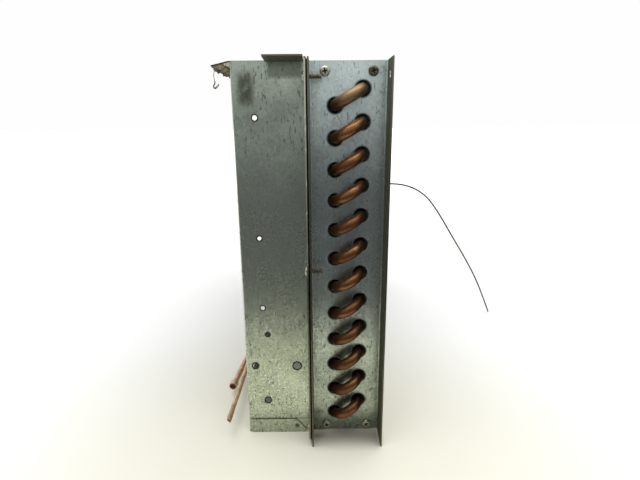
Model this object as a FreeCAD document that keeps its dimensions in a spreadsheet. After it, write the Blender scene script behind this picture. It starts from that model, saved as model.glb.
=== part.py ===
import FreeCAD, Part
import Sketcher
import math
import os

# Finned-tube coil with an air plenum on its left side, in millimetres.
# X runs to the right, Y runs away from the front, Z is up. The origin is on the floor,
# in the middle of the box that holds everything but the sensor capillary.

doc = FreeCAD.newDocument("coil_unit")
Vector = FreeCAD.Vector

# ---------------------------------------------------------------- driving dimensions
driving = {
    "overallDepth": 470.0,       # flange front to flange front
    "casingHeight": 338.0,
    "coilRight": 78.3,           # right face of the coil casing
    "coilWidth": 64.2,           # outside the two flanges
    "rowsFromRight": 31.5,       # middle of the tube rows, from the coil's right face
    "plenumWidth": 61.2,
    "flangeLean": 1.3,           # plenum flange's front edge stands off the coil by this
    "flangeStraight": 3.0,       # and leaves its panel square for this far
    "gauge": 1.2,                # galvanised sheet
    "flangeReach": 25.4,         # tube sheet to flange front
    "panelStep": 3.0,            # plenum panel in front of the tube sheet
    "bendOuter": 2.0,            # sheet bend, outside radius
    "bendInner": 0.8,
    "tubePitch": 25.8,           # up one row
    "rowSpacing": 22.34,
    "rowStagger": 12.9,
    "tubesPerRow": 12.0,
    "lowestTube": 20.2,
    "tubeOuter": 9.52,
    "tubeWall": 0.4,
    "tubeHole": 12.6,
    "finBore": 9.72,
    "bendStart": 2.5,            # a front bend starts this far behind the sheet's face
    "returnLead": 2.0,           # straight start of a return bend
    "legTail": 4.0,              # tube beyond the rear tube sheet
    "finMargin": 6.35,           # fin edge beyond the outer tube centres
    "finHalfDepth": 206.0,
    "finSideMargin": 11.0,
    "returnLip": 12.0,           # plenum panels' lip behind their left edge
    "panLip": 50.8,              # drip pan's left wall
    "panRightLip": 16.0,
    "panTab": 14.2,              # pan tab that laps the panel's face
    "panTabInset": 2.3,
    "panTabRight": 3.3,          # tab's lower end, from the coil
    "panTabClip": 12.4,
    "weldMark": 4.6,
    "weldMarkInset": 14.9,
    "weldMarkHeight": 7.2,
    "topTab": 33.3,              # panel's top tab, its left end from the coil
    "topTabRight": 3.2,
    "topTabRise": 1.5,           # its front edge above its root
    "brim": 14.5,                # top panel beyond the plenum's open left side
    "brimDroop": 3.2,
    "endTabInset": 5.0,          # end tabs of the coil's top and bottom plates
    "screwRowLow": 6.5,          # tube-sheet screws, from the floor
    "screwRowHigh": 8.0,         # and from the top
    "screwHalfSpan": 19.25,
    "flangeScrewLow": 11.2,
    "flangeScrewStep": 156.95,
    "shank": 3.8,
    "shankHole": 4.0,
    "panHead": 8.2,
    "panHeadHeight": 2.6,
    "sideHole": 5.6,
    "sideHoleInset": 10.5,
    "sideHoleHeight": 326.3,
    "lineNotchHeight": 34.0,
    "lineNotchDepth": 17.6,
    "cornerClip": 9.0,
    "foamThick": 2.4,            # foam under the brim's outer edge
    "foamWidth": 9.0,
    "liquidOuter": 4.8,
    "suctionOuter": 6.35,
    "lineWall": 0.8,
    "bellOuter": 8.4,            # suction stub's swollen end
    "bellLength": 7.0,
    "liquidCutEnd": 222.8,       # cut end, forward of the middle
    "liquidOut": 17.6,           # line's axis beyond the plenum's left face, at its cut end
    "liquidOutRear": 6.8,        # and at the rear, so the line splays outwards
    "liquidLevel": 20.0,
    "suctionOut": 11.2,
    "suctionLevel": 12.0,
    "flangeScrew": 13.0,         # length under the head
    "sheetScrew": 9.5,
    "bulbOuter": 8.0,
    "bulbLength": 70.0,
    "bulbLevel": 214.0,
    "bulbRear": -59.6,
    "clipWidth": 10.0,
    "clipThick": 0.6,
    "clipFoot": 7.0,
    "capillary": 2.1,
}

sheet = doc.addObject("Spreadsheet::Sheet", "Sizes")
for row, (alias, number) in enumerate(driving.items(), start=1):
    sheet.set(f"A{row}", alias)
    sheet.set(f"B{row}", str(number))
    sheet.setAlias(f"B{row}", alias)
doc.recompute()


class Size:
    """A number together with the sheet expression that drives it."""

    def __init__(self, number, text):
        self.number = number
        self.text = text

    def __add__(self, other):
        other = as_size(other)
        return Size(self.number + other.number, f"({self.text} + {other.text})")

    def __sub__(self, other):
        other = as_size(other)
        return Size(self.number - other.number, f"({self.text} - {other.text})")

    def __mul__(self, factor):
        return Size(self.number * factor, f"({self.text} * {factor})")

    def __neg__(self):
        return self * -1


def as_size(value):
    return value if isinstance(value, Size) else Size(float(value), f"{float(value)}")


def cell(alias):
    return Size(driving[alias], f"Sizes.{alias}")


# ---------------------------------------------------------------- positions worked out from them
gauge = cell("gauge")
height = cell("casingHeight")
half_depth = cell("overallDepth") * 0.5
sheet_face = half_depth - cell("flangeReach")
panel_face = sheet_face + cell("panelStep")
coil_right = cell("coilRight")
coil_left = coil_right - cell("coilWidth")
plenum_left = coil_left - cell("plenumWidth")
coil_middle = coil_right - cell("rowsFromRight")
left_row = coil_middle - cell("rowSpacing") * 0.5
right_row = coil_middle + cell("rowSpacing") * 0.5
low_tube = cell("lowestTube")
fin_low = low_tube - cell("finMargin")
top_tube = low_tube + cell("tubePitch") * (driving["tubesPerRow"] - 1) + cell("rowStagger")
fin_high = top_tube + cell("finMargin")
leg_end = sheet_face + cell("legTail")
flange_middle = half_depth - cell("flangeReach") * 0.5
tube_count = int(driving["tubesPerRow"])

sub_parts = []


def keep(name, thing):
    thing.Label = name
    sub_parts.append((name, thing))
    return thing


# ---------------------------------------------------------------- PartDesign helpers
def new_body(name):
    body = doc.addObject("PartDesign::Body", name)
    return keep(name, body)


def origin_feature(body, role):
    return next(item for item in body.Origin.OriginFeatures if item.Role == role)


def new_sketch(body, plane, offset):
    """A sketch on an origin plane, moved along that plane's normal by offset."""
    sketch = body.newObject("Sketcher::SketchObject", f"{body.Label}_sketch")
    sketch.AttachmentSupport = [(origin_feature(body, f"{plane}_Plane"), "")]
    sketch.MapMode = "FlatFace"
    offset = as_size(offset)
    sketch.AttachmentOffset = FreeCAD.Placement(Vector(0, 0, offset.number), FreeCAD.Rotation())
    sketch.setExpression("AttachmentOffset.Base.z", offset.text)
    return sketch


def pin_point(sketch, geometry, end, across=None, up=None):
    """Holds one point of a sketch at (across, up) from the sketch's origin, or at one of them."""
    for kind, size in (("DistanceX", across), ("DistanceY", up)):
        if size is None:
            continue
        size = as_size(size)
        index = sketch.addConstraint(Sketcher.Constraint(kind, -1, 1, geometry, end, size.number))
        sketch.setExpression(f"Constraints[{index}]", size.text)


def draw_outline(sketch, points):
    """A closed outline of straight sides."""
    corners = [Vector(as_size(a).number, as_size(b).number, 0) for a, b in points]
    first = sketch.GeometryCount
    for index, corner in enumerate(corners):
        sketch.addGeometry(Part.LineSegment(corner, corners[(index + 1) % len(corners)]))
    for index in range(len(corners)):
        following = first + (index + 1) % len(corners)
        sketch.addConstraint(Sketcher.Constraint("Coincident", first + index, 2, following, 1))
    for index, (across, up) in enumerate(points):
        pin_point(sketch, first + index, 1, across, up)


def draw_circle(sketch, across, up, diameter):
    across, up, diameter = as_size(across), as_size(up), as_size(diameter)
    centre = Vector(across.number, up.number, 0)
    circle = sketch.addGeometry(Part.Circle(centre, Vector(0, 0, 1), diameter.number / 2))
    pin_point(sketch, circle, 3, across, up)
    index = sketch.addConstraint(Sketcher.Constraint("Diameter", circle, diameter.number))
    sketch.setExpression(f"Constraints[{index}]", diameter.text)


def rectangle(low_a, high_a, low_b, high_b):
    return [(low_a, low_b), (high_a, low_b), (high_a, high_b), (low_a, high_b)]


def set_length(feature, size):
    size = as_size(size)
    feature.Length = size.number
    feature.setExpression("Length", size.text)


def pad(body, sketch, length):
    feature = body.newObject("PartDesign::Pad", f"{body.Label}_pad")
    feature.Profile = sketch
    set_length(feature, length)
    sketch.Visibility = False
    doc.recompute()
    return feature


def slab(body, low, high):
    """A box with two corners given, padded upwards from a rectangle."""
    sketch = new_sketch(body, "XY", low[2])
    draw_outline(sketch, rectangle(low[0], high[0], low[1], high[1]))
    return pad(body, sketch, as_size(high[2]) - as_size(low[2]))


def cut(body, sketch, length):
    """A pocket, which has to take something away."""
    before = body.Shape.Volume
    feature = body.newObject("PartDesign::Pocket", f"{body.Label}_pocket")
    feature.Profile = sketch
    set_length(feature, length)
    doc.recompute()
    if body.Shape.Volume > before - 0.5:
        raise ValueError(f"{feature.Name} cuts nothing")
    return feature


def pocket_along_y(body, front, length, circles=(), outline=None):
    """Cuts towards +Y, from the XZ plane at y = front."""
    sketch = new_sketch(body, "XZ", -as_size(front))
    for across, up, diameter in circles:
        draw_circle(sketch, across, up, diameter)
    if outline:
        draw_outline(sketch, outline)
    return cut(body, sketch, length)


def pocket_along_x(body, right, length, circles=(), outline=None):
    """Cuts towards -X, from the YZ plane at x = right."""
    sketch = new_sketch(body, "YZ", right)
    for across, up, diameter in circles:
        draw_circle(sketch, across, up, diameter)
    if outline:
        draw_outline(sketch, outline)
    return cut(body, sketch, length)


def repeat_upwards(body, feature, step, count):
    """Repeats a feature along Z."""
    pattern = body.newObject("PartDesign::LinearPattern", f"{body.Label}_rows")
    pattern.Originals = [feature]
    pattern.Direction = (origin_feature(body, "Z_Axis"), [""])
    pattern.Occurrences = count
    set_length(pattern, step * (count - 1))
    body.Tip = pattern
    doc.recompute()
    return pattern


def round_upright_edges(body, corners, radius):
    """Rounds the upright edges that stand at the given (x, y) corners."""
    tolerance = 0.01
    names = []
    for number, edge in enumerate(body.Tip.Shape.Edges, start=1):
        first, last = edge.Vertexes[0].Point, edge.Vertexes[-1].Point
        for x, y in corners:
            here = all(abs(p.x - as_size(x).number) < tolerance and
                       abs(p.y - as_size(y).number) < tolerance for p in (first, last))
            if here:
                names.append(f"Edge{number}")
    base = body.Tip
    fillet = body.newObject("PartDesign::Fillet", f"{body.Label}_bends")
    fillet.Base = (base, names)
    radius = as_size(radius)
    fillet.Radius = radius.number
    fillet.setExpression("Radius", radius.text)
    body.Tip = fillet
    doc.recompute()
    return fillet


# ---------------------------------------------------------------- coil casing
def tube_sheet(name, side):
    """End plate of the coil; side is -1 for the front and 1 for the rear."""
    body = new_body(name)
    edge, face, inner = half_depth * side, sheet_face * side, (sheet_face - gauge) * side
    outer_low, outer_high = (edge, face) if side < 0 else (face, edge)
    plate_low, plate_high = (face, inner) if side < 0 else (inner, face)
    slab(body, (coil_left, plate_low, 0), (coil_right, plate_high, height))
    slab(body, (coil_left, outer_low, 0), (coil_left + gauge, outer_high, height))
    slab(body, (coil_right - gauge, outer_low, 0), (coil_right, outer_high, height))
    round_upright_edges(body, [(coil_left, inner), (coil_right, inner)], cell("bendOuter"))
    round_upright_edges(body, [(coil_left + gauge, face), (coil_right - gauge, face)],
                        cell("bendInner"))
    tubes = [(left_row, low_tube, cell("tubeHole")),
             (right_row, low_tube + cell("rowStagger"), cell("tubeHole"))]
    holes = pocket_along_y(body, plate_low, gauge, tubes)
    repeat_upwards(body, holes, cell("tubePitch"), tube_count)
    screws = [(coil_middle + cell("screwHalfSpan") * hand, level, cell("shankHole"))
              for hand in (-1, 1)
              for level in (cell("screwRowLow"), height - cell("screwRowHigh"))]
    pocket_along_y(body, plate_low, gauge, screws)
    flange_screw_holes(body, coil_left + gauge, gauge, side)
    side_hole = [((half_depth - cell("sideHoleInset")) * side, cell("sideHoleHeight"),
                  cell("sideHole"))]
    pocket_along_x(body, coil_right, gauge, side_hole)
    if side > 0:
        notch_for_lines(body, coil_left + gauge, gauge)
    return body


def flange_screw_levels(side):
    """The rear flange is notched where its lowest screw would be, so it has two."""
    first = 0 if side < 0 else 1
    return [cell("flangeScrewLow") + cell("flangeScrewStep") * number for number in range(first, 3)]


def flange_screw_holes(body, right, deep, side):
    levels = flange_screw_levels(side)
    hole = [(flange_middle * side, levels[0], cell("shankHole"))]
    lowest = pocket_along_x(body, right, deep, hole)
    repeat_upwards(body, lowest, cell("flangeScrewStep"), len(levels))


def notch_for_lines(body, right, deep):
    """The rear flanges are notched where the two copper lines pass."""
    notch = half_depth - cell("lineNotchDepth")
    pocket_along_x(body, right, deep,
                   outline=rectangle(notch, half_depth, 0, cell("lineNotchHeight")))


def coil_end_cap(name, upper):
    """Top or bottom plate of the coil, a channel with two end tabs."""
    body = new_body(name)
    depth = sheet_face - gauge
    tab_inset = cell("endTabInset")
    if upper:
        left, right = coil_left, coil_right
        plate = (fin_high, fin_high + gauge)
        lip, screw_level = (plate[1], height), height - cell("screwRowHigh")
    else:
        left, right = coil_left + gauge, coil_right - gauge
        plate = (fin_low - gauge, fin_low)
        lip, screw_level = (gauge, plate[0]), cell("screwRowLow")
    slab(body, (left, -depth, plate[0]), (right, depth, plate[1]))
    for low_x in (left, right - gauge):
        slab(body, (low_x, -depth, lip[0]), (low_x + gauge, depth, lip[1]))
    screws = [(coil_middle + cell("screwHalfSpan") * hand, screw_level, cell("shankHole"))
              for hand in (-1, 1)]
    for low_y in (-depth, depth - gauge):
        slab(body, (left + tab_inset, low_y, lip[0]), (right - tab_inset, low_y + gauge, lip[1]))
        pocket_along_y(body, low_y, gauge, screws)
    return body


def fin_pack():
    """The fins as one block, bored for the tubes."""
    body = new_body("fin_pack")
    depth, margin = cell("finHalfDepth"), cell("finSideMargin")
    slab(body, (left_row - margin, -depth, fin_low), (right_row + margin, depth, fin_high))
    bores = [(left_row, low_tube, cell("finBore")),
             (right_row, low_tube + cell("rowStagger"), cell("finBore"))]
    holes = pocket_along_y(body, -depth, depth * 2, bores)
    repeat_upwards(body, holes, cell("tubePitch"), tube_count)


# ---------------------------------------------------------------- plenum
def plenum_panel(name, side):
    """Front or rear wall of the plenum, with its leaning flange, top tab and left lip."""
    body = new_body(name)
    edge, face, inner = half_depth * side, panel_face * side, (panel_face - gauge) * side
    lip_end = (panel_face - cell("returnLip")) * side
    plate = (face, inner) if side < 0 else (inner, face)
    lip = (inner, lip_end) if side < 0 else (lip_end, inner)
    lean = cell("flangeLean")
    slab(body, (plenum_left, plate[0], gauge), (coil_left, plate[1], height))
    flange = new_sketch(body, "XY", gauge)
    knee = face + cell("flangeStraight") * side
    draw_outline(flange, [(coil_left, inner), (coil_left, knee), (coil_left - lean, edge),
                          (coil_left - gauge - lean, edge), (coil_left - gauge, knee),
                          (coil_left - gauge, inner)])
    pad(body, flange, height - gauge)
    slab(body, (plenum_left, lip[0], gauge), (plenum_left + gauge, lip[1], height - gauge))
    round_upright_edges(body, [(plenum_left, face), (coil_left, inner)], cell("bendOuter"))
    round_upright_edges(body, [(plenum_left + gauge, inner), (coil_left - gauge, face)],
                        cell("bendInner"))
    top_tab(body, edge, inner)
    if side < 0:
        pocket_along_y(body, plate[0], gauge, front_panel_holes())
    flange_screw_holes(body, coil_left, gauge + lean, side)
    if side < 0:
        clip = cell("cornerClip")
        pocket_along_x(body, coil_left, gauge + lean,
                       outline=[(edge, 0), (edge + clip, 0), (edge, clip)])
    else:
        notch_for_lines(body, coil_left, gauge + lean)
    return body


def top_tab(body, edge, inner):
    """The panel's top, folded outwards beside the flange, with its front edge a little high."""
    left, right = coil_left - cell("topTab"), coil_left - cell("topTabRight")
    rise = cell("topTabRise")
    profile = new_sketch(body, "YZ", left)
    draw_outline(profile, [(inner, height), (inner, height - gauge),
                           (edge, height - gauge + rise), (edge, height + rise)])
    pad(body, profile, right - left)


def front_panel_holes():
    """Plain and probe holes in the front wall: from its left edge, from the floor, diameter."""
    holes = [(18.0, 294.9, 4.8), (17.5, 194.7, 4.3), (17.8, 129.8, 4.6), (21.3, 103.6, 4.2),
             (8.7, 71.7, 6.0), (47.5, 71.3, 7.9), (19.1, 35.0, 6.1)]
    return [(plenum_left + across, up, diameter) for across, up, diameter in holes]


def plenum_top():
    """The plenum's top, between the two walls, with a drooping brim over the open left side."""
    body = new_body("plenum_top_panel")
    depth = panel_face - gauge
    slab(body, (plenum_left, -depth, height - gauge), (coil_left, depth, height))
    brim = new_sketch(body, "XZ", -panel_face)
    outer, droop = plenum_left - cell("brim"), cell("brimDroop")
    draw_outline(brim, [(plenum_left, height), (plenum_left, height - gauge),
                        (outer, height - gauge - droop), (outer, height - droop)])
    pad(body, brim, panel_face * 2)


def drip_pan():
    """Pan under the plenum and the coil, with walls at left and right and two lapping tabs."""
    body = new_body("drip_pan")
    lip_end = panel_face - cell("returnLip")
    coil_depth = sheet_face - gauge
    slab(body, (plenum_left, -panel_face, 0), (coil_left, panel_face, gauge))
    slab(body, (coil_left, -coil_depth, 0), (coil_right, coil_depth, gauge))
    slab(body, (plenum_left, -lip_end, gauge), (plenum_left + gauge, lip_end, cell("panLip")))
    slab(body, (coil_right - gauge, -coil_depth, gauge),
         (coil_right, coil_depth, cell("panRightLip")))
    tab_left = plenum_left + cell("panTabInset")
    tab_right = coil_left - cell("panTabRight")
    top_right = tab_right - cell("panTabClip")
    for side in (-1, 1):
        near = panel_face if side > 0 else -(panel_face + gauge)
        sketch = new_sketch(body, "XZ", -(near + gauge))
        draw_outline(sketch, [(tab_left, 0), (tab_right, 0),
                              (top_right, cell("panTab")), (tab_left, cell("panTab"))])
        pad(body, sketch, gauge)
    weld_mark = [(coil_left - cell("weldMarkInset"), cell("weldMarkHeight"), cell("weldMark"))]
    pocket_along_y(body, -(panel_face + gauge), 0.4, weld_mark)


def foam_seal():
    """What is left of a strip of foam under the brim's outer edge."""
    body = new_body("foam_seal_top")
    slope = driving["brimDroop"] / driving["brim"]
    outer, width, thick = plenum_left - cell("brim"), cell("foamWidth"), cell("foamThick")
    under = height - gauge - cell("brimDroop")
    profile = new_sketch(body, "XZ", -(panel_face - 1.0))
    draw_outline(profile, [(outer, under), (outer, under - thick),
                           (outer + width, under - thick + width * slope),
                           (outer + width, under + width * slope)])
    pad(body, profile, panel_face * 2 - 2.0)


# ---------------------------------------------------------------- copper
def bent_tube(name, place, leg_start, bend_start, bulge):
    """A tube with two parallel legs one pitch apart and a half-round bend between them."""
    body = new_body(name)
    span = cell("tubePitch")
    radius = span.number / 2
    path = new_sketch(body, "XY", 0)
    first = path.addGeometry(Part.LineSegment(Vector(0, leg_start.number, 0),
                                              Vector(0, bend_start.number, 0)))
    centre = Vector(radius, bend_start.number, 0)
    circle = Part.Circle(centre, Vector(0, 0, 1), radius)
    turn = (0, math.pi) if bulge > 0 else (math.pi, 2 * math.pi)
    arc = path.addGeometry(Part.ArcOfCircle(circle, *turn))
    last = path.addGeometry(Part.LineSegment(Vector(span.number, bend_start.number, 0),
                                             Vector(span.number, leg_start.number, 0)))
    near, far = (2, 1) if bulge > 0 else (1, 2)
    path.addConstraint(Sketcher.Constraint("Coincident", first, 2, arc, near))
    path.addConstraint(Sketcher.Constraint("Coincident", last, 1, arc, far))
    path.addConstraint(Sketcher.Constraint("Vertical", last))
    pin_point(path, first, 1, 0, leg_start)
    pin_point(path, first, 2, 0, bend_start)
    pin_point(path, arc, 3, span * 0.5, bend_start)
    pin_point(path, last, 1, up=bend_start)
    pin_point(path, last, 2, up=leg_start)
    section = new_sketch(body, "XZ", -leg_start)
    draw_circle(section, 0, 0, cell("tubeOuter"))
    draw_circle(section, 0, 0, cell("tubeOuter") - cell("tubeWall") * 2)
    doc.recompute()
    pipe = body.newObject("PartDesign::AdditivePipe", f"{name}_pipe")
    pipe.Profile = section
    pipe.Spine = (path, [f"Edge{number}" for number in (1, 2, 3)])
    body.Placement = place
    doc.recompute()
    return body


def tube_place(column, level, lean):
    """Stands a bent tube in its holes, leaning by the given angle about Y."""
    rotation = FreeCAD.Rotation(Vector(0, 1, 0), lean)
    return FreeCAD.Placement(Vector(column.number, 0, level), rotation)


def coil_tubes():
    """The hairpins, whose bends face the front, and the return bends behind."""
    lean = math.degrees(math.asin(driving["rowStagger"] / driving["tubePitch"]))
    front_bend = cell("bendStart") - sheet_face
    rear_bend = leg_end + cell("returnLead")
    for number in range(tube_count):
        level = driving["lowestTube"] + driving["tubePitch"] * number
        bent_tube(f"hairpin_tube_{number + 1:02d}", tube_place(left_row, level, -lean),
                  leg_end, front_bend, -1)
    for number in range(1, tube_count):
        level = driving["lowestTube"] + driving["tubePitch"] * number
        bent_tube(f"return_bend_{number:02d}", tube_place(left_row, level, lean),
                  leg_end, rear_bend, 1)


def route_wire(points, radii):
    """Straight runs joined by tangent arcs, one radius for each inner point."""
    edges = []
    start = points[0]
    for index, radius in enumerate(radii, start=1):
        before, corner, after = points[index - 1], points[index], points[index + 1]
        back = (before - corner).normalize()
        ahead = (after - corner).normalize()
        half_turn = (math.pi - back.getAngle(ahead)) / 2
        reach = radius * math.tan(half_turn)
        enter, leave = corner + back * reach, corner + ahead * reach
        inward = (back + ahead).normalize()
        crown = corner + inward * (radius / math.cos(half_turn) - radius)
        if (enter - start).Length > 0.001:
            edges.append(Part.LineSegment(start, enter).toShape())
        edges.append(Part.Arc(enter, crown, leave).toShape())
        start = leave
    edges.append(Part.LineSegment(start, points[-1]).toShape())
    return Part.Wire(edges)


def widest_radii(points):
    """The largest arcs that the runs allow."""
    share = 0.45
    radii = []
    for before, corner, after in zip(points, points[1:], points[2:]):
        first, second = corner - before, after - corner
        half_turn = first.getAngle(second) / 2
        radii.append(share * min(first.Length, second.Length) / math.tan(half_turn))
    return radii


def sweep(wire, start, heading, radius):
    ring = Part.Wire(Part.Circle(start, heading, radius).toShape())
    return wire.makePipeShell([ring], True, False)


def report_tube(name, wire, radii, radius, solid):
    section = math.pi * radius ** 2
    print(name, "radii", " ".join(f"{r:.1f}" for r in radii), "length", round(wire.Length, 1),
          "volume ratio", round(solid.Volume / (section * wire.Length), 4))


def line_solid(name, points, radii, outer):
    """A copper line, hollow, along a route."""
    wall = driving["lineWall"]
    wire = route_wire(points, radii)
    heading = points[1] - points[0]
    skin = sweep(wire, points[0], heading, outer / 2)
    report_tube(name, wire, radii, outer / 2, skin)
    core = sweep(wire, points[0], heading, outer / 2 - wall)
    return skin, core


def swaged_start(point, length):
    """The line's wide first stretch, which meets the coil tube's end."""
    radius = driving["tubeOuter"] / 2
    wall = driving["tubeWall"]
    ahead = Vector(0, 1, 0)
    skin = Part.makeCylinder(radius, length, point, ahead)
    neck = Part.makeCylinder(radius - wall, length - wall, point, ahead)
    return skin, neck


def add_feature(name, shape):
    feature = doc.addObject("Part::Feature", name)
    feature.Shape = shape
    return keep(name, feature)


def liquid_line():
    """From the lowest left tube's rear end, round the plenum and forward to its cut end."""
    start_y, level, column = leg_end.number, driving["lowestTube"], left_row.number
    rear_reach, swage = 10.8, 2.6
    rear = start_y + rear_reach
    low = driving["liquidLevel"]
    corner = Vector(plenum_left.number - driving["liquidOutRear"], rear, low)
    cut_end = Vector(plenum_left.number - driving["liquidOut"], -driving["liquidCutEnd"], low)
    spare = 6.0                  # cut away by the blade
    ahead = (cut_end - corner).normalize()
    points = [Vector(column, start_y, level), Vector(column, rear, level),
              corner, cut_end + ahead * spare]
    skin, core = line_solid("liquid_line", points, [8.0, 12.0], driving["liquidOuter"])
    wide, neck = swaged_start(points[0], swage)
    shape = skin.fuse(wide).cut(core).cut(neck)
    block = 40.0
    blade = Part.makeBox(block, block, block, Vector(-block / 2, -block, -block / 2))
    blade.Placement = FreeCAD.Placement(cut_end, FreeCAD.Rotation(Vector(-0.3, 0, 1), -45))
    add_feature("liquid_line", shape.cut(blade))


def suction_line():
    """From the top right tube's rear end, down the coil, round the plenum and forward."""
    start_y, top, column = leg_end.number, top_tube.number, right_row.number
    rear_reach, swage, step_down = 9.5, 2.2, 13.0
    rear = start_y + rear_reach
    drop = column + step_down
    side, low = plenum_left.number - driving["suctionOut"], driving["suctionLevel"]
    knee = -9.6                  # from here the line splays outwards
    end_x, end_y = -74.1, -154.6
    points = [Vector(column, start_y, top), Vector(column, rear, top),
              Vector(drop, rear, top - step_down), Vector(drop, rear, low),
              Vector(side, rear, low), Vector(side, knee, low), Vector(end_x, end_y, low)]
    skin, core = line_solid("suction_line", points, [9.4, 12.0, 9.5, 14.0, 120.0],
                            driving["suctionOuter"])
    wide, neck = swaged_start(points[0], swage)
    heading = (points[-2] - points[-1]).normalize()
    wall, radius, length = driving["lineWall"], driving["bellOuter"] / 2, driving["bellLength"]
    bell = Part.makeCylinder(radius, length, points[-1], heading)
    mouth = Part.makeCylinder(radius - wall, length - wall, points[-1], heading)
    add_feature("suction_line", skin.fuse([wide, bell]).cut(core).cut(neck).cut(mouth))


# ---------------------------------------------------------------- fasteners
def bound(kind, name, **sizes):
    thing = doc.addObject(kind, name)
    for prop, size in sizes.items():
        thing.setExpression(prop, as_size(size).text)
    return thing


def screw_group(name, seats, heading, length):
    """Pan-head screws; each seat is the point under the head, heading points to the tip."""
    screws = []
    dome_radius = 1.7
    turn = FreeCAD.Rotation(Vector(0, 0, 1), heading)
    for number, seat in enumerate(seats, start=1):
        head = bound("Part::Cylinder", f"{name}_head_{number}", Radius=cell("panHead") * 0.5,
                     Height=cell("panHeadHeight"))
        head.Placement = FreeCAD.Placement(Vector(0, 0, -driving["panHeadHeight"]),
                                           FreeCAD.Rotation())
        shank = bound("Part::Cylinder", f"{name}_shank_{number}", Radius=cell("shank") * 0.5,
                      Height=length)
        doc.recompute()
        dome = doc.addObject("Part::Fillet", f"{name}_dome_{number}")
        dome.Base = head
        dome.Edges = [(lowest_edge(head.Shape), dome_radius, dome_radius)]
        joined = doc.addObject("Part::Fuse", f"{name}_{number}")
        joined.Base, joined.Tool = dome, shank
        joined.Placement = FreeCAD.Placement(seat, turn)
        screws.append(joined)
    group = doc.addObject("Part::Compound", name)
    group.Links = screws
    doc.recompute()
    keep(name, group)


def lowest_edge(shape):
    """Number of the round edge at a head's outer end."""
    rounds = [(edge.BoundBox.ZMin + edge.BoundBox.ZMax, number)
              for number, edge in enumerate(shape.Edges, start=1)
              if edge.BoundBox.ZLength < 0.01]
    return min(rounds)[1]


def fasteners():
    lean_at_screws = 0.6         # share of the flange's lean
    flange_seat = (coil_left - gauge).number - driving["flangeLean"] * lean_at_screws
    for name, side in (("front", -1), ("rear", 1)):
        across = flange_middle.number * side
        seats = [Vector(flange_seat, across, level.number) for level in flange_screw_levels(side)]
        screw_group(f"flange_screws_{name}", seats, Vector(1, 0, 0),
                    driving["flangeScrew"])
        face = sheet_face.number * side
        seats = [Vector(coil_middle.number + driving["screwHalfSpan"] * hand, face, level)
                 for level in (driving["screwRowLow"],
                               driving["casingHeight"] - driving["screwRowHigh"])
                 for hand in (-1, 1)]
        screw_group(f"tube_sheet_screws_{name}", seats, Vector(0, -side, 0),
                    driving["sheetScrew"])


# ---------------------------------------------------------------- sensor
def sensor_parts():
    """A sensing bulb clipped to the fins, with its capillary lying off to the right."""
    level, rear_end = driving["bulbLevel"], driving["bulbRear"]
    fin_face = (right_row + cell("finSideMargin")).number
    gap, rounding = 0.2, 1.5
    axis_x = fin_face + driving["bulbOuter"] / 2 + gap
    bulb = bound("Part::Cylinder", "bulb_barrel", Radius=cell("bulbOuter") * 0.5,
                 Height=cell("bulbLength"))
    bulb.Placement = FreeCAD.Placement(Vector(axis_x, rear_end, level),
                                       FreeCAD.Rotation(Vector(1, 0, 0), 90))
    doc.recompute()
    rounded = doc.addObject("Part::Fillet", "sensor_bulb")
    rounded.Base = bulb
    rounded.Edges = [(number, rounding, rounding)
                     for number, edge in enumerate(bulb.Shape.Edges, start=1)
                     if edge.BoundBox.YLength < 0.01]
    keep("sensor_bulb", rounded)
    clip_ring(axis_x, rear_end - driving["bulbLength"] / 2, level, fin_face)
    capillary(Vector(axis_x, rear_end, level))


def clip_ring(axis_x, middle, level, fin_face):
    """A strap over the bulb, open towards the fins, with two feet against them."""
    width, thick, foot_height = (driving[key] for key in ("clipWidth", "clipThick", "clipFoot"))
    radius = driving["bulbOuter"] / 2 + 0.1
    near = middle - width / 2
    start, along = Vector(axis_x, near, level), Vector(0, 1, 0)
    ring = Part.makeCylinder(radius + thick, width, start, along)
    ring = ring.cut(Part.makeCylinder(radius, width, start, along))
    back = Part.makeBox(radius + thick, width, 4 * radius,
                        Vector(fin_face - radius - thick, near, level - 2 * radius))
    strap = ring.cut(back)
    for side in (-1, 1):
        low = level + side * (radius + thick / 2) - thick / 2
        leg = Part.makeBox(axis_x - fin_face, width, thick, Vector(fin_face, near, low))
        foot_low = low if side > 0 else low + thick - foot_height
        foot = Part.makeBox(thick, width, foot_height, Vector(fin_face, near, foot_low))
        strap = strap.fuse([leg, foot])
    add_feature("bulb_clip", strap.removeSplitter())


def capillary(start):
    """The capillary's route, from the bulb's end to the floor."""
    radius = driving["capillary"] / 2
    points = [start, Vector(73.0, -43.6, 214.2), Vector(82.0, -22.0, 214.0),
              Vector(106.0, -10.0, 213.0), Vector(136.0, -4.0, 210.5),
              Vector(163.5, 3.0, 196.0), Vector(185.5, 12.0, 168.0),
              Vector(208.5, 22.0, 133.0), Vector(233.5, 35.0, 97.0),
              Vector(257.5, 46.0, 58.0), Vector(274.0, 54.0, 24.0), Vector(285.0, 60.5, 1.2)]
    radii = widest_radii(points)
    wire = route_wire(points, radii)
    solid = sweep(wire, points[0], points[1] - points[0], radius)
    report_tube("sensor_capillary", wire, radii, radius, solid)
    add_feature("sensor_capillary", solid)


# ---------------------------------------------------------------- build and write
tube_sheet("front_tube_sheet", -1)
tube_sheet("rear_tube_sheet", 1)
coil_end_cap("coil_top_plate", True)
coil_end_cap("coil_bottom_plate", False)
fin_pack()
plenum_panel("plenum_front_panel", -1)
plenum_panel("plenum_rear_panel", 1)
plenum_top()
drip_pan()
foam_seal()
coil_tubes()
liquid_line()
suction_line()
fasteners()
sensor_parts()
doc.recompute()

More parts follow.
